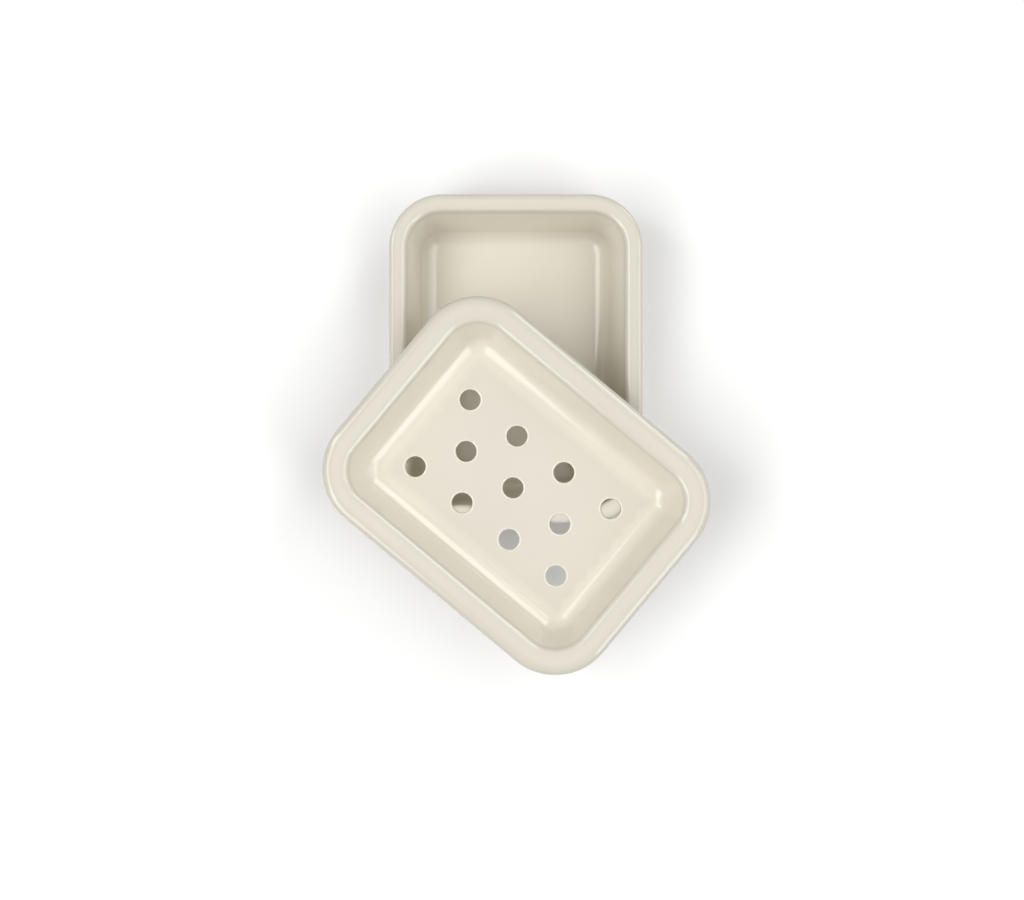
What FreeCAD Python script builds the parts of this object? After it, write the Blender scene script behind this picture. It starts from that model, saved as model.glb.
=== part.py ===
# Enamelled steel soap dish: a plain lower dish and a perforated drainer that nests in it.
# The drainer lies askew across the dish, as it does when the set is laid out to dry.
# Millimetres and degrees. Origin at the centre of the dish's foot, +Z up, dish lengthways on Y.
import FreeCAD, Part
import math
import os

import Sketcher

doc = FreeCAD.newDocument("soap_dish")

# Driving sizes
SIZES = [
    ("sheet_gauge", 1.1, "steel with its enamel on both sides"),
    ("bend_radius", 2.5, "rim to wall, on the upper surface"),
    ("floor_radius", 7.0, "wall to floor, on the upper surface"),
    ("lip_depth", 1.6, "turned-down lip, the upright part below its edge"),
    ("dish_length", 136.0, "lower dish over its lip"),
    ("dish_width", 105.0, "lower dish over its lip"),
    ("dish_height", 30.0, "lower dish from foot to rim"),
    ("dish_rim", 5.0, "lower dish, lip to the start of its bend"),
    ("dish_edge", 1.8, "lower dish's rim to lip, on the upper surface"),
    ("dish_draft", 13.0, "slope of the lower dish's walls from upright"),
    ("dish_floor_corner", 2.75, "plan radius of the lower dish's flat floor at its corners"),
    ("overhang", 2.0, "drainer's lip past the dish's lip all round, when nested"),
    ("nest_play", 1.45, "drainer's bend inside the dish's bend all round, when nested"),
    ("drainer_height", 19.1, "drainer from foot to rim"),
    ("drainer_edge", 3.0, "drainer's rim to lip, on the upper surface"),
    ("drainer_draft", 22.0, "slope of the drainer's walls from upright"),
    ("drainer_floor_corner", 2.9, "plan radius of the drainer's flat floor at its corners"),
    ("hole_bore", 8.5, "drain hole's diameter"),
    ("hole_pitch", 24.5, "drain holes along a row"),
    ("row_pitch", 17.85, "from one row of drain holes to the next"),
    ("row_slide", 0.5, "each row of holes set along from the one before it"),
    ("long_row", 4, "drain holes in an outer row"),
    ("hole_easing", 0.4, "eased edge of a drain hole, on both faces"),
    ("easing_limit", 0.4, "most that an eased edge takes of the gauge"),
    ("punch_shift_along", -0.3, "hole pattern off the drainer's centre, lengthways"),
    ("punch_shift_across", -1.8, "hole pattern off the drainer's centre, widthways"),
    ("punch_turn", 2.1, "hole pattern's turn against the drainer"),
    ("askew_turn", -39.9, "drainer's length from the X axis, as it lies"),
    ("askew_x", 0.2, "drainer's centre as it lies"),
    ("askew_y", -52.3, "drainer's centre as it lies"),
]

sizes = doc.addObject("Spreadsheet::Sheet", "sizes")
for number, (alias, value, meaning) in enumerate(SIZES, start=1):
    sizes.set(f"A{number}", alias)
    sizes.set(f"B{number}", str(value))
    sizes.set(f"C{number}", meaning)
    sizes.setAlias(f"B{number}", alias)
doc.recompute()

QUARTER = 90

# How a sketch numbers the points of a curve, and its own origin
FIRST, LAST, MIDDLE = range(1, 4)
ORIGIN = -1


def value_of(expression):
    """The number that an expression on the sheet gives."""
    return float(sizes.evalExpression(expression))


class Pan:
    """The expressions that set one drawn pan: its plan, its height and its slope.

    Floor, wall, bend, rim and lip turn a corner about one upright axis, so the lip's plan radius
    is the flat floor's plus the run of the wall with its two curves, plus the rim.
    """

    def __init__(self, length, width, height, floor_corner, rim, edge, draft):
        self.height = height
        self.floor_corner = floor_corner
        self.rim = rim
        self.edge = edge
        self.draft = draft
        curves = "(sizes.bend_radius + sizes.floor_radius)"
        slope = f"({draft} * 1deg)"
        rise = f"({height} - sizes.sheet_gauge - {curves} * (1 - sin({slope})))"
        self.run = f"({rise} * tan({slope}) + {curves} * cos({slope}))"
        self.corner = f"({floor_corner} + {self.run} + {rim})"
        self.centre_x = f"(({length}) / 2 - {self.corner})"
        self.centre_y = f"(({width}) / 2 - {self.corner})"


def origin_plane(body, role):
    return next(item for item in body.Origin.OriginFeatures if item.Role == role)


def new_sketch(body, name, plane, offset):
    """A sketch on one of the body's own planes, moved by three expressions in its own axes."""
    sketch = body.newObject("Sketcher::SketchObject", name)
    sketch.AttachmentSupport = (origin_plane(body, plane), [""])
    sketch.MapMode = "FlatFace"
    for axis, expression in zip("xyz", offset):
        sketch.setExpression(f"AttachmentOffset.Base.{axis}", expression)
    return sketch


def bind(sketch, constraint, name, expression):
    """Add a measured constraint under a name and tie it to the sheet."""
    index = sketch.addConstraint(constraint)
    sketch.renameConstraint(index, name)
    sketch.setExpression(f"Constraints.{name}", expression)


def arc(centre, radius, start, end):
    circle = Part.Circle(FreeCAD.Vector(*centre, 0), FreeCAD.Vector(0, 0, 1), radius)
    return Part.ArcOfCircle(circle, start, end)


def line(start, end):
    return Part.LineSegment(FreeCAD.Vector(*start, 0), FreeCAD.Vector(*end, 0))


def draw_wall_section(sketch, pan):
    """The sheet's section from a corner's axis out to the lip: floor, fillet, wall, bend, rim, lip.

    The sketch's origin lies on the corner's axis at foot level. The upper surface is drawn
    outwards and the lower surface back, one gauge below it all the way.
    """
    gauge = value_of("sizes.sheet_gauge")
    bend = value_of("sizes.bend_radius")
    fillet = value_of("sizes.floor_radius")
    edge = value_of(pan.edge)
    height = value_of(pan.height)
    outside = value_of(pan.corner)
    slope = math.radians(value_of(pan.draft))
    lip_end = height - edge - value_of("sizes.lip_depth")

    bend_at = (outside - value_of(pan.rim), height - bend)
    edge_at = (outside - edge, height - edge)
    fillet_at = (value_of(pan.floor_corner), gauge + fillet)

    def on(centre, radius, angle):
        return (centre[0] + radius * math.cos(angle), centre[1] + radius * math.sin(angle))

    down = -math.pi / 2
    up = math.pi / 2
    inward = math.pi - slope
    curves = [
        line((0, gauge), on(fillet_at, fillet, down)),
        arc(fillet_at, fillet, down, -slope),
        line(on(fillet_at, fillet, -slope), on(bend_at, bend, inward)),
        arc(bend_at, bend, up, inward),
        line(on(bend_at, bend, up), on(edge_at, edge, up)),
        arc(edge_at, edge, 0, up),
        line(on(edge_at, edge, 0), (outside, lip_end)),
        line((outside, lip_end), (outside - gauge, lip_end)),
        line((outside - gauge, lip_end), on(edge_at, edge - gauge, 0)),
        arc(edge_at, edge - gauge, 0, up),
        line(on(edge_at, edge - gauge, up), on(bend_at, bend - gauge, up)),
        arc(bend_at, bend - gauge, up, inward),
        line(on(bend_at, bend - gauge, inward), on(fillet_at, fillet + gauge, -slope)),
        arc(fillet_at, fillet + gauge, down, -slope),
        line(on(fillet_at, fillet + gauge, down), (0, 0)),
        line((0, 0), (0, gauge)),
    ]
    sketch.addGeometry(curves, False)
    (floor, fillet_arc, wall, bend_arc, rim, edge_arc, lip, lip_foot, lip_back, edge_back,
     rim_back, bend_back, wall_back, fillet_back, foot, axis) = range(len(curves))
    smooth_joints = [
        (floor, LAST, fillet_arc, FIRST),
        (fillet_arc, LAST, wall, FIRST),
        (wall, LAST, bend_arc, LAST),
        (bend_arc, FIRST, rim, FIRST),
        (rim, LAST, edge_arc, LAST),
        (edge_arc, FIRST, lip, FIRST),
        (lip_back, LAST, edge_back, FIRST),
        (edge_back, LAST, rim_back, FIRST),
        (rim_back, LAST, bend_back, FIRST),
        (bend_back, LAST, wall_back, FIRST),
        (wall_back, LAST, fillet_back, LAST),
        (fillet_back, FIRST, foot, FIRST),
    ]
    sharp_joints = [
        (lip, LAST, lip_foot, FIRST),
        (lip_foot, LAST, lip_back, FIRST),
        (foot, LAST, axis, FIRST),
        (axis, LAST, floor, FIRST),
    ]
    for joint in smooth_joints:
        sketch.addConstraint(Sketcher.Constraint("Tangent", *joint))
    for joint in sharp_joints:
        sketch.addConstraint(Sketcher.Constraint("Coincident", *joint))
    for level in (floor, rim, lip_foot, rim_back, foot):
        sketch.addConstraint(Sketcher.Constraint("Horizontal", level))
    for upright in (lip, lip_back, axis):
        sketch.addConstraint(Sketcher.Constraint("Vertical", upright))
    for outer, inner in [(fillet_back, fillet_arc), (bend_arc, bend_back), (edge_arc, edge_back)]:
        sketch.addConstraint(Sketcher.Constraint("Coincident", outer, MIDDLE, inner, MIDDLE))
    sketch.addConstraint(Sketcher.Constraint("Coincident", axis, FIRST, ORIGIN, FIRST))

    def measure(name, kind, *where, at, expression):
        bind(sketch, Sketcher.Constraint(kind, *where, at), name, expression)

    measure("floor_radius", "Radius", fillet_arc, at=fillet, expression="sizes.floor_radius")
    measure("bend_radius", "Radius", bend_arc, at=bend, expression="sizes.bend_radius")
    measure("edge_radius", "Radius", edge_arc, at=edge, expression=pan.edge)
    measure("floor_gauge", "DistanceY", axis, FIRST, axis, LAST, at=gauge,
            expression="sizes.sheet_gauge")
    measure("rim_gauge", "DistanceY", rim_back, LAST, rim, FIRST, at=gauge,
            expression="sizes.sheet_gauge")
    measure("height", "DistanceY", ORIGIN, FIRST, rim, FIRST, at=height, expression=pan.height)
    measure("floor_corner", "DistanceX", ORIGIN, FIRST, fillet_arc, MIDDLE, at=fillet_at[0],
            expression=pan.floor_corner)
    measure("rim", "DistanceX", bend_arc, MIDDLE, lip, FIRST, at=value_of(pan.rim),
            expression=pan.rim)
    measure("lip_end", "DistanceY", ORIGIN, FIRST, lip, LAST, at=lip_end,
            expression=f"{pan.height} - {pan.edge} - sizes.lip_depth")
    measure("draft", "Angle", wall, at=math.pi / 2 - slope,
            expression=f"(90 - {pan.draft}) * 1deg")


def draw_floor(sketch, pan):
    """A rectangle from the pan's centre to the corner's axis."""
    far = (value_of(pan.centre_x), value_of(pan.centre_y))
    bottom, right, top, left = range(4)
    sketch.addGeometry([line((0, 0), (far[0], 0)), line((far[0], 0), far),
                        line(far, (0, far[1])), line((0, far[1]), (0, 0))], False)
    for one, two in [(bottom, right), (right, top), (top, left), (left, bottom)]:
        sketch.addConstraint(Sketcher.Constraint("Coincident", one, LAST, two, FIRST))
    for level in (bottom, top):
        sketch.addConstraint(Sketcher.Constraint("Horizontal", level))
    for upright in (right, left):
        sketch.addConstraint(Sketcher.Constraint("Vertical", upright))
    sketch.addConstraint(Sketcher.Constraint("Coincident", bottom, FIRST, ORIGIN, FIRST))
    bind(sketch, Sketcher.Constraint("DistanceX", bottom, FIRST, bottom, LAST, far[0]),
         "half_length", pan.centre_x)
    bind(sketch, Sketcher.Constraint("DistanceY", right, FIRST, right, LAST, far[1]),
         "half_width", pan.centre_y)


def pad(body, name, sketch, length, reversed_side=False):
    feature = body.newObject("PartDesign::Pad", name)
    feature.Profile = sketch
    feature.Reversed = reversed_side
    feature.setExpression("Length", length)
    return feature


def mirror(body, name, role):
    """Double everything made so far across one of the body's own planes."""
    feature = body.newObject("PartDesign::Mirrored", name)
    feature.TransformMode = "Whole shape"
    feature.MirrorPlane = (origin_plane(body, role), [""])
    body.Tip = feature
    return feature


def drawn_pan(label, pan):
    """One pan drawn from sheet: a quarter of it, with its rounded corner, mirrored twice."""
    body = doc.addObject("PartDesign::Body", label)
    body.Label = label

    end_section = new_sketch(body, f"{label}_end_section", "XZ_Plane",
                             (pan.centre_x, "0", f"-{pan.centre_y}"))
    draw_wall_section(end_section, pan)
    side_section = new_sketch(body, f"{label}_side_section", "YZ_Plane",
                              (pan.centre_y, "0", pan.centre_x))
    draw_wall_section(side_section, pan)
    floor_plan = new_sketch(body, f"{label}_floor_plan", "XY_Plane", ("0", "0", "0"))
    draw_floor(floor_plan, pan)
    doc.recompute()

    corner = body.newObject("PartDesign::Revolution", f"{label}_corner")
    corner.Profile = end_section
    corner.ReferenceAxis = (end_section, ["V_Axis"])
    corner.Angle = QUARTER
    pad(body, f"{label}_end_wall", end_section, pan.centre_y)
    pad(body, f"{label}_side_wall", side_section, pan.centre_x, reversed_side=True)
    pad(body, f"{label}_floor", floor_plan, "sizes.sheet_gauge")
    doc.recompute()
    mirror(body, f"{label}_half", "YZ_Plane")
    doc.recompute()
    mirror(body, f"{label}_whole", "XZ_Plane")
    doc.recompute()
    return body


def hole_places():
    """Expressions for the staggered holes: outer rows, and a middle row with one hole less."""
    long_row = int(value_of("sizes.long_row"))
    places = []
    for row in (1, 0, -1):
        count = long_row if row else long_row - 1
        for step in range(count):
            along = (f"(({step} - ({count} - 1) / 2) * sizes.hole_pitch"
                     f" + {row} * sizes.row_slide)")
            across = f"{row} * sizes.row_pitch"
            turn = "sizes.punch_turn * 1deg"
            places.append((
                f"sizes.punch_shift_along + {along} * cos({turn}) - {across} * sin({turn})",
                f"sizes.punch_shift_across + {along} * sin({turn}) + {across} * cos({turn})",
            ))
    return places


def punch_drain_holes(body):
    """The staggered drain holes, each with both its edges eased."""
    sketch = new_sketch(body, "drain_holes", "XY_Plane", ("0", "0", "0"))
    radius = value_of("sizes.hole_bore / 2")
    for number, (x_expression, y_expression) in enumerate(hole_places(), start=1):
        x = value_of(x_expression)
        y = value_of(y_expression)
        circle = Part.Circle(FreeCAD.Vector(x, y, 0), FreeCAD.Vector(0, 0, 1), radius)
        hole = sketch.addGeometry(circle, False)
        bind(sketch, Sketcher.Constraint("Radius", hole, radius), f"bore_{number}",
             "sizes.hole_bore / 2")
        bind(sketch, Sketcher.Constraint("DistanceX", ORIGIN, FIRST, hole, MIDDLE, x),
             f"along_{number}", x_expression)
        bind(sketch, Sketcher.Constraint("DistanceY", ORIGIN, FIRST, hole, MIDDLE, y),
             f"across_{number}", y_expression)
    doc.recompute()
    solid_volume = body.Shape.Volume
    holes = body.newObject("PartDesign::Pocket", "punched_holes")
    holes.Profile = sketch
    holes.Reversed = True
    holes.setExpression("Length", "sizes.sheet_gauge")
    doc.recompute()
    if not holes.Shape.Volume < solid_volume:
        raise RuntimeError("the drain holes cut nothing")

    edges = [f"Edge{index}" for index, edge in enumerate(holes.Shape.Edges, start=1)
             if isinstance(edge.Curve, Part.Circle)
             and math.isclose(edge.Curve.Radius, radius, rel_tol=1e-6)
             and edge.Closed]
    easing = body.newObject("PartDesign::Chamfer", "eased_hole_edges")
    easing.Base = (holes, edges)
    easing.setExpression("Size", "min(sizes.hole_easing; sizes.easing_limit * sizes.sheet_gauge)")
    doc.recompute()


dish_plan = Pan(
    length="sizes.dish_length",
    width="sizes.dish_width",
    height="sizes.dish_height",
    floor_corner="sizes.dish_floor_corner",
    rim="sizes.dish_rim",
    edge="sizes.dish_edge",
    draft="sizes.dish_draft",
)
drainer_plan = Pan(
    length="sizes.dish_length + 2 * sizes.overhang",
    width="sizes.dish_width + 2 * sizes.overhang",
    height="sizes.drainer_height",
    floor_corner="sizes.drainer_floor_corner",
    rim="(sizes.dish_rim + sizes.overhang + sizes.nest_play)",
    edge="sizes.drainer_edge",
    draft="sizes.drainer_draft",
)

# Lower dish, which holds the water
lower_dish = drawn_pan("lower_dish", dish_plan)
lower_dish.Placement.Rotation = FreeCAD.Rotation(FreeCAD.Vector(0, 0, 1), QUARTER)

# Drainer, which holds the soap: its flat foot lies on the lower dish's rim
drainer = drawn_pan("drainer", drainer_plan)
punch_drain_holes(drainer)
drainer.setExpression("Placement.Base.x", "sizes.askew_x")
drainer.setExpression("Placement.Base.y", "sizes.askew_y")
drainer.setExpression("Placement.Base.z", "sizes.dish_height")
drainer.setExpression("Placement.Rotation.Angle", "sizes.askew_turn * 1deg")
doc.recompute()

for item in doc.Objects:
    if "Invalid" in item.State or "Error" in item.State:
        raise RuntimeError(f"{item.Name} failed: {item.State}")
os.makedirs("parts", exist_ok=True)
for body in (lower_dish, drainer):
    shape = body.Shape
    if shape.isNull() or not shape.isValid() or len(shape.Solids) != 1:
        raise RuntimeError(f"{body.Label} is not one valid solid")
    shape.exportStep(os.path.join("parts", f"{body.Label}.step"))
    print(f"{body.Label}: {shape.Volume:.0f} mm3, {len(shape.Faces)} faces, {shape.BoundBox}")
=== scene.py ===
"""Enamelled steel soap dish: the fine form and finish of its two pans, and the studio round them."""

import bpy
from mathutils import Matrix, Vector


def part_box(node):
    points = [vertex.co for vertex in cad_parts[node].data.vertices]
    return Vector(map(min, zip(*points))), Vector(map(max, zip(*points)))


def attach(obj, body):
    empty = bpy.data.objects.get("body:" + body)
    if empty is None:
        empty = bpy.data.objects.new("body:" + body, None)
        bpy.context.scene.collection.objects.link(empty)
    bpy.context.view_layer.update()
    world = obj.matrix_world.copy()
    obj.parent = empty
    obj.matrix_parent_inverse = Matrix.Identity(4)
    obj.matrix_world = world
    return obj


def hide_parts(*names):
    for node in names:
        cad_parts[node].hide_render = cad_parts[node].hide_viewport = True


bl_info = {
    "name": "Enamel Soap Dish",
    "version": (1, 0, 0),
    "blender": (4, 5, 0),
    "location": "View3D > Sidebar > Soap Dish",
    "description": "Builds a cream enamelled soap dish with its perforated drainer",
    "category": "Add Mesh",
}

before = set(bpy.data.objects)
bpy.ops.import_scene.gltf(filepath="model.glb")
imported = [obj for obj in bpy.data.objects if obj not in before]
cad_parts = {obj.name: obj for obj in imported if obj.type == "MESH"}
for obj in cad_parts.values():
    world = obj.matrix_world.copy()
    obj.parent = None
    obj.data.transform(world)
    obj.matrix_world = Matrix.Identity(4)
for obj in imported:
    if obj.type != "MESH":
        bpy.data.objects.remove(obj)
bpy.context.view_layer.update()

import math

import bpy
from bpy.props import FloatProperty, FloatVectorProperty, IntProperty, PointerProperty
from mathutils import Matrix, Vector
from mathutils.geometry import delaunay_2d_cdt

DISH_LOW, DISH_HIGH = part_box("lower_dish")
DRAINER_LOW, DRAINER_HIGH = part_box("drainer")
MM = 0.001


def length_property(name, description, default):
    return FloatProperty(name=name, description=description, default=default, unit="LENGTH",
                         subtype="DISTANCE", precision=5)


def angle_property(name, description, default):
    return FloatProperty(name=name, description=description, default=math.radians(default),
                         unit="ROTATION", subtype="ANGLE")


def colour_property(name, description, default):
    return FloatVectorProperty(name=name, description=description, default=default, size=3,
                               min=0, max=1, subtype="COLOR")


class SheetSizes(bpy.types.PropertyGroup):
    """The sheet that both pans are drawn from, and its bends."""

    gauge: length_property("Gauge", "Steel with its enamel on both sides", 1.1 * MM)
    bend: length_property("Bend", "Upper radius from rim to wall", 2.5 * MM)
    fillet: length_property("Floor fillet", "Upper radius from wall to floor", 7.0 * MM)
    lip_depth: length_property("Lip depth", "The upright part of the lip below its edge", 1.6 * MM)


class DishSizes(bpy.types.PropertyGroup):
    """The lower dish."""

    length: length_property("Length", "Over its lip", DISH_HIGH.y - DISH_LOW.y)
    width: length_property("Width", "Over its lip", DISH_HIGH.x - DISH_LOW.x)
    height: length_property("Height", "From foot to rim", DISH_HIGH.z - DISH_LOW.z)
    rim: length_property("Rim", "From the lip to the start of the bend", 5.0 * MM)
    edge: length_property("Edge", "Upper radius from rim to lip", 1.8 * MM)
    draft: angle_property("Draft", "Slope of the walls from upright", 13.0)
    floor_corner: length_property("Floor corner", "Plan radius of the flat floor's corners", 2.75 * MM)
    turn: angle_property("Turn", "The length's direction from X", 90.0)
    # The flat floor's share of the lighter enamel, here painted light on the dish's floor as well as
    # enamel that pools
    pooling_and_light: FloatProperty(name="Pooling", description="How much enamel pooled on the flat floor",
                           default=1.0, min=0, max=1, subtype="FACTOR")


class DrainerSizes(bpy.types.PropertyGroup):
    """The perforated drainer."""

    length: length_property("Length", "Over its lip", 140.0 * MM)
    width: length_property("Width", "Over its lip", 109.0 * MM)
    height: length_property("Height", "From foot to rim", DRAINER_HIGH.z - DRAINER_LOW.z)
    rim: length_property("Rim", "From the lip to the start of the bend", 8.45 * MM)
    edge: length_property("Edge", "Upper radius from rim to lip", 3.0 * MM)
    draft: angle_property("Draft", "Slope of the walls from upright", 22.0)
    floor_corner: length_property("Floor corner", "Plan radius of the flat floor's corners", 2.9 * MM)
    turn: angle_property("Turn", "The length's direction from X", -39.9)
    # The flat floor's share of the lighter enamel, which is also painted light; none on the drainer's
    # floor
    pooling_and_light: FloatProperty(name="Pooling", description="How much enamel pooled on the flat floor",
                           default=0.0, min=0, max=1, subtype="FACTOR")
    bore: length_property("Bore", "Drain hole's diameter", 8.5 * MM)
    hole_pitch: length_property("Hole pitch", "Drain holes along a row", 24.5 * MM)
    row_pitch: length_property("Row pitch", "From one row of holes to the next", 17.85 * MM)
    row_slide: length_property("Row slide", "Each row of holes set along from the one before",
                               0.5 * MM)
    long_row: IntProperty(name="Long row", description="Drain holes in an outer row", default=4)
    shift_along: length_property("Shift along", "Hole pattern off centre, lengthways", -0.3 * MM)
    shift_across: length_property("Shift across", "Hole pattern off centre, widthways", -1.8 * MM)
    punch_turn: angle_property("Punch turn", "Hole pattern's turn against the drainer", 2.1)
    rounding_out: length_property("Rounding out", "Hole's rounded edge, across the floor", 0.8 * MM)
    rounding_down: length_property("Rounding down", "Hole's rounded edge, down the bore", 0.5 * MM)


class EnamelFinish(bpy.types.PropertyGroup):
    """The fired enamel."""

    cream: colour_property("Cream", "The enamel as fired", (0.678, 0.641, 0.554))
    # Darker enamel: thinner enamel over the bends and edges, painted shade on the outer edge and the
    # lip, and darker on the undersides
    thin_and_shade: colour_property("Thin", "Where it runs thin over an edge", (0.600, 0.560, 0.465))
    # Lighter enamel: enamel that pools in part, and painted light that lifts the walls, the fillets,
    # the dish's floor and the holes' rounded edges
    pooled_and_lit: colour_property("Pooled", "Where it pools in a hollow", (0.790, 0.745, 0.634))
    fleck: colour_property("Fleck", "Fine flecks under the gloss", (0.450, 0.400, 0.320))
    gloss: FloatProperty(name="Gloss", description="Roughness of the fired surface", default=0.11,
                         min=0, max=1, subtype="FACTOR")
    peel: length_property("Peel", "Height of the fine ripple in the gloss", 0.004 * MM)
    swell: length_property("Swell", "Height of the broad waves in the gloss", 0.030 * MM)


class StudioSettings(bpy.types.PropertyGroup):
    """Floor, lights and camera."""

    floor_size: length_property("Floor", "Side of the square floor", 6.0)
    floor_colour: colour_property("Floor colour", "What the camera sees", (1.0, 1.0, 1.0))
    floor_bounce: colour_property("Floor bounce", "What the object is lit by", (0.64, 0.64, 0.64))
    fade_start: length_property("Fade start", "Where the floor starts to turn plain white", 0.30)
    fade_end: length_property("Fade end", "Where the floor is plain white", 0.75)
    sky: FloatProperty(name="Sky", description="Strength of the plain light from all round",
                       default=0.24, min=0)
    camera_x: length_property("Camera X", "Over the object", -1.6 * MM)
    camera_y: length_property("Camera Y", "Over the object", -37.9 * MM)
    camera_rise: length_property("Camera rise", "Above the lower dish's rim", 0.700)
    view_width: length_property("View width", "Across the picture, at that rim", 0.4232)


class Socket:
    """A node's output with plain arithmetic on it, each step a Math node."""

    def __init__(self, graph, output):
        self.graph = graph
        self.output = output

    def _math(self, operation, first, second):
        return self.graph.node("ShaderNodeMath", {"operation": operation},
                               {0: first, 1: second}).out("Value")

    def __add__(self, other):
        return self._math("ADD", self, other)

    def __rsub__(self, other):
        return self._math("SUBTRACT", other, self)

    def __mul__(self, other):
        return self._math("MULTIPLY", self, other)

    def __lt__(self, other):
        return self._math("LESS_THAN", self, other)

    def or_more(self, other):
        """The larger of the two."""
        return self._math("MAXIMUM", self, other)


class Node:
    """A shader node whose outputs are read by name."""

    def __init__(self, graph, made):
        self.graph = graph
        self.made = made

    def out(self, name):
        return Socket(self.graph, self.made.outputs[name])


class Graph:
    """A material's or the world's nodes."""

    def __init__(self, owner):
        owner.use_nodes = True
        self.tree = owner.node_tree
        self.tree.nodes.clear()

    def node(self, kind, settings=None, sockets=None):
        """Add a node, set its settings, then fill or link its sockets."""
        made = self.tree.nodes.new(kind)
        for name, value in (settings or {}).items():
            setattr(made, name, value)
        for name, value in (sockets or {}).items():
            if isinstance(value, Socket):
                self.tree.links.new(value.output, made.inputs[name])
            else:
                made.inputs[name].default_value = value
        return Node(self, made)

    def mix_colour(self, share, first, second):
        """One colour over another by a share."""
        made = self.node("ShaderNodeMix", {"data_type": "RGBA"}, {"Factor": share})
        for name, value in (("A", first), ("B", second)):
            socket = next(item for item in made.made.inputs
                          if item.name == name and item.type == "RGBA")
            if isinstance(value, Socket):
                self.tree.links.new(value.output, socket)
            else:
                socket.default_value = (*value, 1)
        result = next(item for item in made.made.outputs if item.type == "RGBA")
        return Socket(self, result)

    def noise(self, place, scale, detail):
        return self.node("ShaderNodeTexNoise", {},
                         {"Vector": place, "Scale": scale, "Detail": detail}).out("Fac")

    def spread(self, value, low, high, to_low=0.0, to_high=1.0):
        """Stretch a value's range, held to its ends."""
        return self.node("ShaderNodeMapRange", {"clamp": True},
                         {"Value": value, "From Min": low, "From Max": high,
                          "To Min": to_low, "To Max": to_high}).out("Result")

    def seen_rays(self):
        """1 for a ray from the camera, off a gloss or through glass, and 0 for one that lights."""
        rays = self.node("ShaderNodeLightPath")
        glossy = rays.out("Is Camera Ray").or_more(rays.out("Is Glossy Ray"))
        return glossy.or_more(rays.out("Is Transmission Ray"))


# Vertex layers: where the enamel is darker, for thinner enamel and painted shade on the outer edge and
# the lip; and where it is lighter, for enamel that pools and painted light in the hollows and on the
# holes' edges
THIN_AND_SHADE_LAYER = "thin_enamel_and_painted_shade"
POOLED_LIGHT_LAYER = "pooled_enamel_and_painted_light"

# The enamel's patterns, in cells to a metre
CLOUD_SCALE = 28
WAVE_SCALE = 55
FLECK_CLUSTER_SCALE = 160
FLECK_SCALE = 420
RIPPLE_SCALE = 420
GRAIN_SCALE = 900
# What of a noise's range is stretched
CLOUD_RANGE = (0.3, 0.7)
WIDE_CLOUD_RANGE = (0.2, 0.8)
FLECK_RANGE = (0.55, 0.75)
# Least and most of a colour over the one below it
CLOUD_COVER = (0, 0.2)
# The lighter cover is enamel that pools and painted light; the darker cover is thinner enamel and
# painted shade
POOLED_LIGHT_COVER = (0.5, 1)
THIN_AND_SHADE_COVER = (0.45, 0.8)
FLECK_COVER = 0.22
# A fleck's radius against its cell, and the gloss against its mean
FLECK_SIZE = (0, 0.10)
GLOSS_SPREAD = (0.85, 1.25)
ENAMEL_IOR = 1.6


def fired_enamel(finish):
    """Opaque gloss enamel: a glassy surface with a faint ripple over a cream ground, with painted
    light in its hollows and painted shade on its outer edges.
    """
    material = bpy.data.materials.new("fired_enamel")
    graph = Graph(material)
    place = graph.node("ShaderNodeTexCoord").out("Object")
    thin_and_shade = graph.node("ShaderNodeAttribute", {"attribute_name": THIN_AND_SHADE_LAYER}).out("Fac")
    pooled_and_lit = graph.node("ShaderNodeAttribute", {"attribute_name": POOLED_LIGHT_LAYER}).out("Fac")

    cloud = graph.noise(place, CLOUD_SCALE, 3)
    grain = graph.noise(place, GRAIN_SCALE, 2)
    ground = graph.mix_colour(graph.spread(cloud, *CLOUD_RANGE, *CLOUD_COVER),
                              tuple(finish.cream), tuple(finish.pooled_and_lit))
    # Lighter where its layer is set: enamel that pools in part, painted light in the hollows in part
    ground = graph.mix_colour(pooled_and_lit * graph.spread(cloud, *WIDE_CLOUD_RANGE, *POOLED_LIGHT_COVER),
                              ground, tuple(finish.pooled_and_lit))
    # Darker where its layer is set: thinner enamel in part, painted shade on the outer edge and the
    # lip in part
    ground = graph.mix_colour(thin_and_shade * graph.spread(cloud, *CLOUD_RANGE, *THIN_AND_SHADE_COVER),
                              ground, tuple(finish.thin_and_shade))
    flecks = graph.node("ShaderNodeTexVoronoi", {"feature": "F1"},
                        {"Vector": place, "Scale": FLECK_SCALE, "Randomness": 1}).out("Distance")
    clusters = graph.noise(place, FLECK_CLUSTER_SCALE, 1)
    fleck_size = graph.spread(clusters, *FLECK_RANGE, *FLECK_SIZE)
    ground = graph.mix_colour((flecks < fleck_size) * FLECK_COVER, ground, tuple(finish.fleck))

    least, most = (finish.gloss * share for share in GLOSS_SPREAD)
    gloss = graph.spread(grain * 0.5 + cloud * 0.5, *CLOUD_RANGE, least, most)
    ripple = graph.node("ShaderNodeBump", {},
                        {"Strength": 1, "Distance": finish.peel,
                         "Height": graph.noise(place, RIPPLE_SCALE, 2)}).out("Normal")
    waves = graph.node("ShaderNodeBump", {},
                       {"Strength": 1, "Distance": finish.swell,
                        "Height": graph.noise(place, WAVE_SCALE, 1),
                        "Normal": ripple}).out("Normal")
    shader = graph.node("ShaderNodeBsdfPrincipled", {},
                        {"Base Color": ground, "Roughness": gloss, "Normal": waves,
                         "IOR": ENAMEL_IOR, "Metallic": 0.0}).out("BSDF")
    graph.node("ShaderNodeOutputMaterial", {}, {"Surface": shader})
    return material


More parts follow.
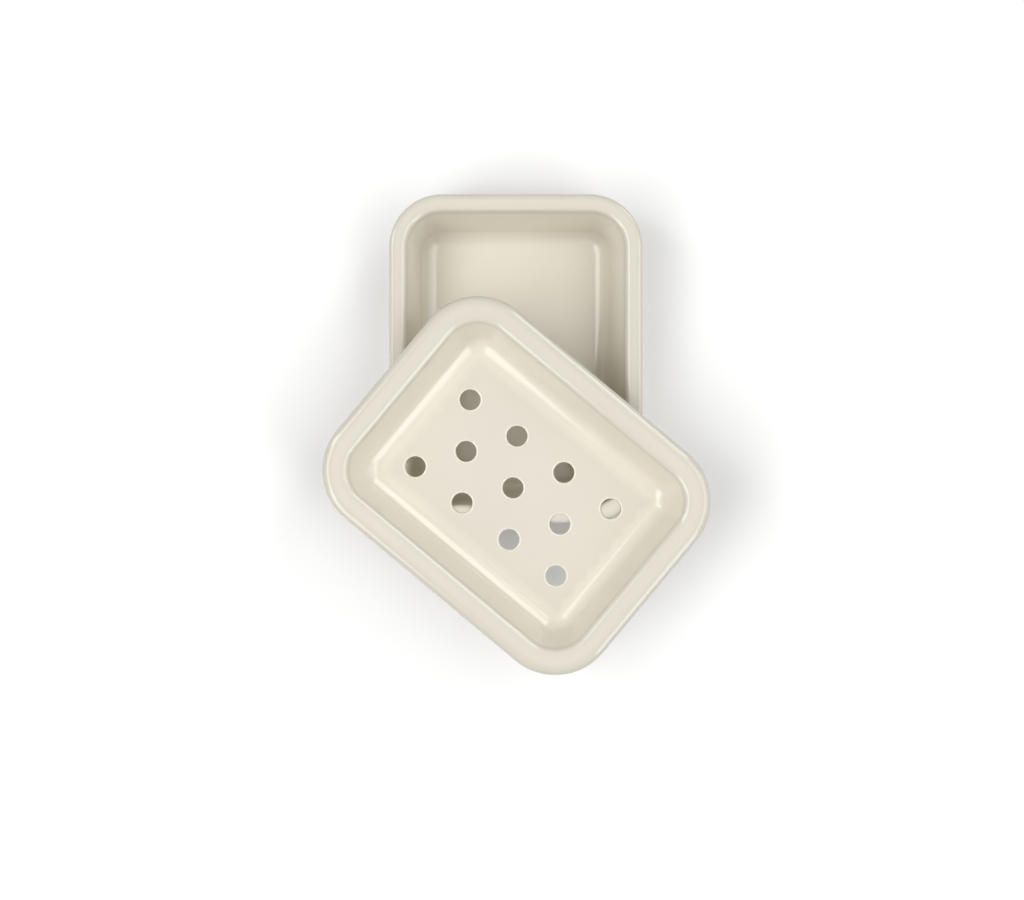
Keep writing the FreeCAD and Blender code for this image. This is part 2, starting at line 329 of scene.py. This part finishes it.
def arc_points(centre, radius, start, end, steps, facing):
    """Points along an arc of the section, with normals away from its centre (1) or to it (-1)."""
    points = []
    for step in range(steps + 1):
        angle = start + (end - start) * step / steps
        across = math.cos(angle)
        upward = math.sin(angle)
        points.append((centre[0] + radius * across, centre[1] + radius * upward,
                       facing * across, facing * upward))
    return points


FILLET_STEPS = 18
BEND_STEPS = 14
EDGE_STEPS = 12
LIP_STEPS = 10
WALL_STEPS = 8
RIM_STEPS = 3

# How much darker the enamel is, from 0 on the flat to 1: thinner enamel over the bends, thinner enamel
# and painted shade on the outer edge and the lip, and darker on the undersides
BEND_THIN = 0.25
EDGE_THIN_AND_SHADE = 0.8
LIP_THIN_AND_SHADE = 1
UNDERSIDE_DARKER = 0.8


def straight_points(start, end, steps):
    """Points between two section points, without the two themselves."""
    return [tuple(a + (b - a) * step / steps for a, b in zip(start, end))
            for step in range(1, steps)]


def wall_section(sheet, pan):
    """The pan's section from its flat floor out over the lip and back, as (out, up, normal) rows.

    The two last numbers of a row are how much darker the enamel is there, for thinner enamel and
    painted shade, and how much lighter, for enamel that pools and painted light.
    """
    slope = pan.draft
    curves = sheet.bend + sheet.fillet
    rise = pan.height - sheet.gauge - curves * (1 - math.sin(slope))
    run = rise * math.tan(slope) + curves * math.cos(slope)
    outside = pan.floor_corner + run + pan.rim
    fillet_at = (pan.floor_corner, sheet.gauge + sheet.fillet)
    bend_at = (pan.floor_corner + run, pan.height - sheet.bend)
    edge_at = (outside - pan.edge, pan.height - pan.edge)
    lip_round = sheet.gauge / 2
    lip_at = (outside - lip_round, pan.height - pan.edge - sheet.lip_depth + lip_round)
    down = -math.pi / 2
    up = math.pi / 2
    inward = math.pi - slope

    fillet = arc_points(fillet_at, sheet.fillet, down, -slope, FILLET_STEPS, -1)
    bend = arc_points(bend_at, sheet.bend, inward, up, BEND_STEPS, 1)
    edge = arc_points(edge_at, pan.edge, up, 0, EDGE_STEPS, 1)
    lip = arc_points(lip_at, lip_round, 0, -math.pi, LIP_STEPS, 1)
    edge_back = arc_points(edge_at, pan.edge - sheet.gauge, 0, up, EDGE_STEPS, -1)
    bend_back = arc_points(bend_at, sheet.bend - sheet.gauge, up, inward, BEND_STEPS, -1)
    fillet_back = arc_points(fillet_at, sheet.fillet + sheet.gauge, -slope, down, FILLET_STEPS, 1)

    rows = []

    def add(points, thin_and_shade, pooled_and_lit):
        rows.extend((*point, thin_and_shade, pooled_and_lit) for point in points)

    # The fillet and the wall take the lighter enamel, painted light in the hollow; the outer edge and
    # the lip take the darker enamel, painted shade with thinner enamel; the underside is darker
    add(fillet, 0, 1)
    add(straight_points(fillet[-1], bend[0], WALL_STEPS), 0, 1)
    add(bend, BEND_THIN, 0)
    add(straight_points(bend[-1], edge[0], RIM_STEPS), 0, 0)
    add(edge, EDGE_THIN_AND_SHADE, 0)
    add(lip, LIP_THIN_AND_SHADE, 0)
    add(edge_back, UNDERSIDE_DARKER, 0)
    add(straight_points(edge_back[-1], bend_back[0], RIM_STEPS), UNDERSIDE_DARKER, 0)
    add(bend_back, UNDERSIDE_DARKER, 0)
    add(straight_points(bend_back[-1], fillet_back[0], WALL_STEPS), UNDERSIDE_DARKER, 0)
    add(fillet_back, UNDERSIDE_DARKER, 0)
    return rows, outside


CORNER_STEPS = 28
SIDE_STEPS = 16


def plan_stations(half_length, half_width):
    """Where the section stands round the pan, as (corner's axis or a point between, direction)."""
    corners = [(half_length, half_width), (-half_length, half_width),
               (-half_length, -half_width), (half_length, -half_width)]
    stations = []
    for number, corner in enumerate(corners):
        following = corners[(number + 1) % len(corners)]
        for step in range(CORNER_STEPS + 1):
            angle = math.pi / 2 * (number + step / CORNER_STEPS)
            stations.append((corner, (math.cos(angle), math.sin(angle))))
        direction = stations[-1][1]
        for step in range(1, SIDE_STEPS):
            share = step / SIDE_STEPS
            place = tuple(a + (b - a) * share for a, b in zip(corner, following))
            stations.append((place, direction))
    return stations


class Shell:
    """The vertices, faces and layers of one pan as they are added."""

    def __init__(self):
        self.places = []
        self.normals = []
        self.thin_and_shade = []
        self.pooled_and_lit = []
        self.faces = []

    def add(self, place, normal, thin_and_shade, pooled_and_lit):
        self.places.append(place)
        self.normals.append(normal)
        self.thin_and_shade.append(thin_and_shade)
        self.pooled_and_lit.append(pooled_and_lit)
        return len(self.places) - 1

    def bridge(self, one, two):
        """Quads from one closed ring of vertices to the next."""
        count = len(one)
        for index in range(count):
            following = (index + 1) % count
            self.faces.append((one[index], two[index], two[following], one[following]))

    def object(self, name, material, matrix):
        mesh = bpy.data.meshes.new(name)
        mesh.from_pydata(self.places, [], self.faces)
        mesh.validate()
        for layer, values in ((THIN_AND_SHADE_LAYER, self.thin_and_shade), (POOLED_LIGHT_LAYER, self.pooled_and_lit)):
            attribute = mesh.attributes.new(layer, "FLOAT", "POINT")
            attribute.data.foreach_set("value", values)
        mesh.shade_smooth()
        mesh.normals_split_custom_set_from_vertices(self.normals)
        mesh.transform(matrix)
        mesh.materials.append(material)
        piece = bpy.data.objects.new(name, mesh)
        bpy.context.scene.collection.objects.link(piece)
        return piece


GRID_STEP = 4.0 * MM
GRID_MARGIN = 1.6 * MM
HOLE_STEPS = 56
ROUND_STEPS = 7
MERGE_DISTANCE = 1e-9


def fill_floor(shell, ring, holes, level, facing, thin_and_shade, pooled_and_lit):
    """Triangles over the flat floor, from the fillet's ring in to the ring of each hole."""
    outline = [Vector(shell.places[index][:2]) for index in ring]
    half_x = max(point.x for point in outline)
    half_y = max(point.y for point in outline)
    known = list(ring)
    points = list(outline)
    edges = [(index, (index + 1) % len(ring)) for index in range(len(ring))]
    for hole in holes:
        start = len(points)
        known.extend(hole["ring"])
        points.extend(Vector(shell.places[index][:2]) for index in hole["ring"])
        count = len(hole["ring"])
        edges.extend((start + index, start + (index + 1) % count) for index in range(count))

    columns = int(half_x / GRID_STEP)
    rows = int(half_y / GRID_STEP)
    for row in range(-rows, rows + 1):
        for column in range(-columns, columns + 1):
            point = Vector(((column + 0.5 * (row % 2)) * GRID_STEP, row * GRID_STEP))
            if abs(point.x) > half_x - GRID_MARGIN or abs(point.y) > half_y - GRID_MARGIN:
                continue
            near = any((point - hole["centre"]).length < hole["reach"] + GRID_MARGIN
                       for hole in holes)
            if not near:
                known.append(shell.add((point.x, point.y, level), (0, 0, facing), thin_and_shade, pooled_and_lit))
                points.append(point)
    places, _, faces, origins, *_ = delaunay_2d_cdt(points, edges, [], 0, MERGE_DISTANCE)
    order = [known[origin[0]] for origin in origins]
    for face in faces:
        middle = sum((places[index] for index in face), Vector((0, 0))) / len(face)
        if any((middle - hole["centre"]).length < hole["reach"] for hole in holes):
            continue
        corners = [order[index] for index in face]
        shell.faces.append(tuple(corners if facing > 0 else reversed(corners)))


def hole_section(sheet, pan):
    """A hole's section from the floor's top down the bore to its underside."""
    radius = pan.bore / 2
    rows = []
    for level, side in ((sheet.gauge - pan.rounding_down, 1), (pan.rounding_down, -1)):
        part = []
        for step in range(ROUND_STEPS + 1):
            angle = math.pi / 2 * step / ROUND_STEPS
            out = radius + pan.rounding_out * (1 - math.cos(angle))
            up = level + side * pan.rounding_down * math.sin(angle)
            normal = Vector((-math.cos(angle) / pan.rounding_out,
                             side * math.sin(angle) / pan.rounding_down)).normalized()
            part.append((out, up, normal.x, normal.y))
        rows.append(part)
    return list(reversed(rows[0])) + rows[1]


def hole_centres(pan):
    """The staggered drain holes: outer rows, and a middle row with one hole less."""
    centres = []
    for row in (1, 0, -1):
        count = pan.long_row if row else pan.long_row - 1
        for step in range(count):
            along = (step - (count - 1) / 2) * pan.hole_pitch + row * pan.row_slide
            place = Vector((along, row * pan.row_pitch))
            place.rotate(Matrix.Rotation(pan.punch_turn, 2))
            centres.append(place + Vector((pan.shift_along, pan.shift_across)))
    return centres


def punch(shell, sheet, pan, centre):
    """One hole's rounded wall, its rounded edges in the lighter enamel, beads of enamel in part and a
    painted highlight ring in part; gives its rings in the floor's two faces.
    """
    rings = []
    section = hole_section(sheet, pan)
    for number, (out, up, across, upward) in enumerate(section):
        # The rounded edges take the lighter enamel: beads of enamel in part, a painted highlight ring
        # in part
        bead_and_highlight = 1 if 0 < number < len(section) - 1 else pan.pooling_and_light
        ring = []
        for step in range(HOLE_STEPS):
            angle = 2 * math.pi * step / HOLE_STEPS
            x = math.cos(angle)
            y = math.sin(angle)
            ring.append(shell.add((centre.x + out * x, centre.y + out * y, up),
                                  (across * x, across * y, upward), 0, bead_and_highlight))
        rings.append(ring)
    for upper, lower in zip(rings, rings[1:]):
        shell.bridge(lower, upper)
    reach = pan.bore / 2 + pan.rounding_out
    return [{"centre": centre, "ring": ring, "reach": reach} for ring in (rings[0], rings[-1])]


def drawn_pan(sheet, pan, centres):
    """One pan in its own axes: the swept wall section and the flat floor with its holes."""
    shell = Shell()
    rows, outside = wall_section(sheet, pan)
    stations = plan_stations(pan.length / 2 - outside, pan.width / 2 - outside)
    rings = []
    for out, up, across, upward, thin_and_shade, pooled_and_lit in rows:
        ring = []
        for (x, y), (to_x, to_y) in stations:
            ring.append(shell.add((x + to_x * out, y + to_y * out, up),
                                  (to_x * across, to_y * across, upward), thin_and_shade, pooled_and_lit))
        rings.append(ring)
    for inner, outer in zip(rings, rings[1:]):
        shell.bridge(inner, outer)
    holes = [punch(shell, sheet, pan, centre) for centre in centres]
    # The top of the floor takes the pan's share of the lighter enamel, painted light on the dish's
    # floor; its underside is darker
    fill_floor(shell, rings[0], [pair[0] for pair in holes], sheet.gauge, 1, 0, pan.pooling_and_light)
    fill_floor(shell, rings[-1], [pair[1] for pair in holes], 0.0, -1, UNDERSIDE_DARKER, 0)
    return shell


def shared_enamel(settings):
    """The one enamel on both pans, made when the first pan asks for it."""
    return bpy.data.materials.get("fired_enamel") or fired_enamel(settings)


class SOAPDISH_OT_lower_dish(bpy.types.Operator):
    """Draw the lower dish from its sheet and enamel it"""

    bl_idname = "soapdish.lower_dish"
    bl_label = "Lower dish"

    def execute(self, context):
        scene = context.scene
        pan = scene.soapdish_dish
        shell = drawn_pan(scene.soapdish_sheet, pan, [])
        middle = (DISH_LOW + DISH_HIGH) / 2
        place = Matrix.Translation((middle.x, middle.y, DISH_LOW.z))
        piece = shell.object("enamelled_lower_dish", shared_enamel(scene.soapdish_finish),
                             place @ Matrix.Rotation(pan.turn, 4, "Z"))
        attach(piece, "root")
        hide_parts("lower_dish")
        return {"FINISHED"}


class SOAPDISH_OT_drainer(bpy.types.Operator):
    """Draw and punch the drainer and enamel it"""

    bl_idname = "soapdish.drainer"
    bl_label = "Drainer"

    def execute(self, context):
        scene = context.scene
        pan = scene.soapdish_drainer
        shell = drawn_pan(scene.soapdish_sheet, pan, hole_centres(pan))
        middle = (DRAINER_LOW + DRAINER_HIGH) / 2
        place = Matrix.Translation((middle.x, middle.y, DRAINER_LOW.z))
        piece = shell.object("enamelled_drainer", shared_enamel(scene.soapdish_finish),
                             place @ Matrix.Rotation(pan.turn, 4, "Z"))
        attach(piece, "root")
        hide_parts("drainer")
        return {"FINISHED"}


def plain_floor(studio):
    """White to the camera and to reflections, a plain pale floor to the light it bounces.

    Well away from the object, where the lamps don't reach, the camera sees plain white.
    """
    material = bpy.data.materials.new("studio_floor")
    graph = Graph(material)
    seen = graph.seen_rays()
    colour = graph.mix_colour(seen, tuple(studio.floor_bounce), tuple(studio.floor_colour))
    lit = graph.node("ShaderNodeBsdfDiffuse", {}, {"Color": colour}).out("BSDF")
    place = graph.node("ShaderNodeTexCoord").out("Object")
    distance = graph.node("ShaderNodeVectorMath", {"operation": "LENGTH"},
                          {0: place}).out("Value")
    far = graph.spread(distance, studio.fade_start, studio.fade_end)
    white = graph.node("ShaderNodeEmission", {},
                       {"Color": (*studio.floor_colour, 1), "Strength": 1}).out("Emission")
    shader = graph.node("ShaderNodeMixShader", {}, {0: far * seen, 1: lit, 2: white}).out("Shader")
    graph.node("ShaderNodeOutputMaterial", {}, {"Surface": shader})
    return material


def white_sky(studio):
    """Plain light from all round, white to the camera and to reflections."""
    world = bpy.data.worlds.new("studio_sky")
    graph = Graph(world)
    seen = graph.seen_rays()
    strength = seen + (1 - seen) * studio.sky
    sky = graph.node("ShaderNodeBackground", {}, {"Color": (1, 1, 1, 1), "Strength": strength})
    graph.node("ShaderNodeOutputWorld", {}, {"Surface": sky.out("Background")})
    return world


# Softboxes: name, azimuth from +X and elevation in degrees, distance, width and height in
# metres, radiance
SOFTBOXES = [
    ("softbox_left", 215.5, 41, 1.3, 0.50, 0.96, 3.1),
    ("softbox_right", -41, 40, 1.3, 0.32, 0.96, 3.2),
    ("softbox_back", 48.5, 36, 1.3, 0.32, 0.96, 3.4),
    ("softbox_side", 154, 42, 1.3, 0.20, 0.70, 4.0),
    ("softbox_low", 5, 32, 1.3, 0.80, 0.50, 0.9),
    ("softbox_high_left", 180, 62, 1.4, 0.80, 0.80, 2.75),
    ("softbox_high_right", 0, 62, 1.4, 0.80, 0.80, 2.05),
]


def softbox(name, azimuth, elevation, distance, width, height, radiance, target):
    """A rectangular area light that faces the object."""
    lamp = bpy.data.lights.new(name, "AREA")
    lamp.shape = "RECTANGLE"
    lamp.size = width
    lamp.size_y = height
    lamp.energy = radiance * math.pi * width * height
    turn = math.radians(azimuth)
    lift = math.radians(elevation)
    away = Vector((math.cos(turn) * math.cos(lift), math.sin(turn) * math.cos(lift), math.sin(lift)))
    holder = bpy.data.objects.new(name, lamp)
    holder.location = target + away * distance
    holder.rotation_euler = away.to_track_quat("Z", "Y").to_euler()
    bpy.context.scene.collection.objects.link(holder)


class SOAPDISH_OT_studio(bpy.types.Operator):
    """Lay the floor, hang the lights and set the camera over the object"""

    bl_idname = "soapdish.studio"
    bl_label = "Studio"

    def execute(self, context):
        scene = context.scene
        studio = scene.soapdish_studio
        half = studio.floor_size / 2
        mesh = bpy.data.meshes.new("studio_floor")
        mesh.from_pydata([(-half, -half, 0), (half, -half, 0), (half, half, 0), (-half, half, 0)],
                         [], [(0, 1, 2, 3)])
        mesh.materials.append(plain_floor(studio))
        floor = bpy.data.objects.new("studio_floor", mesh)
        scene.collection.objects.link(floor)
        scene.world = white_sky(studio)
        target = Vector((studio.camera_x, studio.camera_y, DISH_HIGH.z))
        for box in SOFTBOXES:
            softbox(*box, target)

        camera = bpy.data.cameras.new("overhead_camera")
        camera.lens = camera.sensor_width * studio.camera_rise / studio.view_width
        holder = bpy.data.objects.new("overhead_camera", camera)
        holder.location = target + Vector((0, 0, studio.camera_rise))
        scene.collection.objects.link(holder)
        scene.camera = holder
        scene.view_settings.view_transform = "Standard"
        return {"FINISHED"}


class SOAPDISH_PT_sidebar(bpy.types.Panel):
    """The soap dish's pieces and their sizes"""

    bl_idname = "SOAPDISH_PT_sidebar"
    bl_label = "Soap Dish"
    bl_space_type = "VIEW_3D"
    bl_region_type = "UI"
    bl_category = "Soap Dish"

    def draw(self, context):
        for operator in OPERATORS:
            self.layout.operator(operator.bl_idname)
        for name in SETTINGS:
            group = getattr(context.scene, name)
            box = self.layout.box()
            for item in group.bl_rna.properties:
                if item.identifier not in ("name", "rna_type"):
                    box.prop(group, item.identifier)


SETTINGS = {
    "soapdish_sheet": SheetSizes,
    "soapdish_dish": DishSizes,
    "soapdish_drainer": DrainerSizes,
    "soapdish_finish": EnamelFinish,
    "soapdish_studio": StudioSettings,
}
OPERATORS = (SOAPDISH_OT_lower_dish, SOAPDISH_OT_drainer, SOAPDISH_OT_studio)


def register():
    for group in (*SETTINGS.values(), *OPERATORS, SOAPDISH_PT_sidebar):
        bpy.utils.register_class(group)
    for name, group in SETTINGS.items():
        setattr(bpy.types.Scene, name, PointerProperty(type=group))


def unregister():
    for name in SETTINGS:
        delattr(bpy.types.Scene, name)
    for group in reversed((*SETTINGS.values(), *OPERATORS, SOAPDISH_PT_sidebar)):
        bpy.utils.unregister_class(group)


def main():
    register()
    bpy.ops.soapdish.lower_dish()
    bpy.ops.soapdish.drainer()
    bpy.ops.soapdish.studio()
    bpy.context.view_layer.update()


if __name__ == "__main__":
    main()
